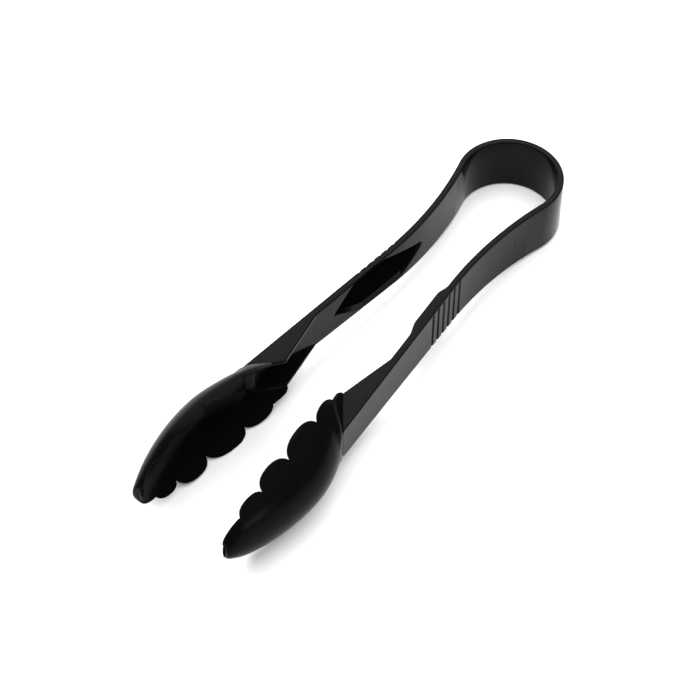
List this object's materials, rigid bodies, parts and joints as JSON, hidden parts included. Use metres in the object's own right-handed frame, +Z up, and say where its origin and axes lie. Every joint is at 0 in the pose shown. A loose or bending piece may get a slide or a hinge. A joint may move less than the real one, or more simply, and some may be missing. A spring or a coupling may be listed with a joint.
{
  "type": "serving tongs",
  "caption": "One-piece moulded black plastic serving tongs: a round sprung bow, two tapering arms with grip grooves and two scalloped scoop heads that close together.",
  "frame": {"origin": "bottom centre of the bounding box, on the surface the tongs lie on", "axes": "+X across the tongs towards the right arm, +Y along them towards the bow with the scoop tips at -Y, +Z up along the width of the strip, which leans 1.6 degrees so that scoops and bow all rest"},
  "size_m": [0.064, 0.2294, 0.0342],
  "materials": {
    "moulded_black_bow": "glossy moulded black, smooth",
    "moulded_black_limb": "glossy moulded black, smooth",
    "moulded_black_arm": "glossy moulded black with fine handling marks",
    "moulded_black_head": "glossy moulded black, highly polished backs"
  },
  "bodies": {
    "bow": {"bow_crown": "moulded_black_bow"},
    "upper_limb_right": {"bow_upper_right": "moulded_black_limb"},
    "lower_limb_right": {"bow_lower_right": "moulded_black_limb"},
    "arm_right": {"arm_right": "moulded_black_arm", "scoop_right": "moulded_black_head"},
    "upper_limb_left": {"bow_upper_left": "moulded_black_limb"},
    "lower_limb_left": {"bow_lower_left": "moulded_black_limb"},
    "arm_left": {"arm_left": "moulded_black_arm", "scoop_left": "moulded_black_head"}
  },
  "joints": [
    {"name": "upper_flex_right", "type": "hinge", "parent": "bow", "child": "upper_limb_right", "pos_m": [0.01179, 0.10928, 0.01222], "axis": [0, -0.0276, -0.9996], "range_deg": [-0.8, 1.6]},
    {"name": "middle_flex_right", "type": "hinge", "parent": "upper_limb_right", "child": "lower_limb_right", "pos_m": [0.01933, 0.09947, 0.01249], "axis": [0, -0.0276, -0.9996], "range_deg": [-0.8, 1.6]},
    {"name": "squeeze_right", "type": "hinge", "parent": "lower_limb_right", "child": "arm_right", "pos_m": [0.01988, 0.08712, 0.01283], "axis": [0, -0.0276, -0.9996], "range_deg": [-0.8, 1.6], "stiffness_Nm_per_rad": 40},
    {"name": "upper_flex_left", "type": "hinge", "parent": "bow", "child": "upper_limb_left", "pos_m": [-0.01179, 0.10928, 0.01222], "axis": [0, 0.0276, 0.9996], "range_deg": [-0.8, 1.6]},
    {"name": "middle_flex_left", "type": "hinge", "parent": "upper_limb_left", "child": "lower_limb_left", "pos_m": [-0.01933, 0.09947, 0.01249], "axis": [0, 0.0276, 0.9996], "range_deg": [-0.8, 1.6]},
    {"name": "squeeze_left", "type": "hinge", "parent": "lower_limb_left", "child": "arm_left", "pos_m": [-0.01988, 0.08712, 0.01283], "axis": [0, 0.0276, 0.9996], "range_deg": [-0.8, 1.6], "stiffness_Nm_per_rad": 40}
  ],
  "couplings": [
    {"joint": "upper_flex_right", "follows": "squeeze_right", "ratio": 1},
    {"joint": "middle_flex_right", "follows": "squeeze_right", "ratio": 1},
    {"joint": "upper_flex_left", "follows": "squeeze_left", "ratio": 1},
    {"joint": "middle_flex_left", "follows": "squeeze_left", "ratio": 1}
  ]
}
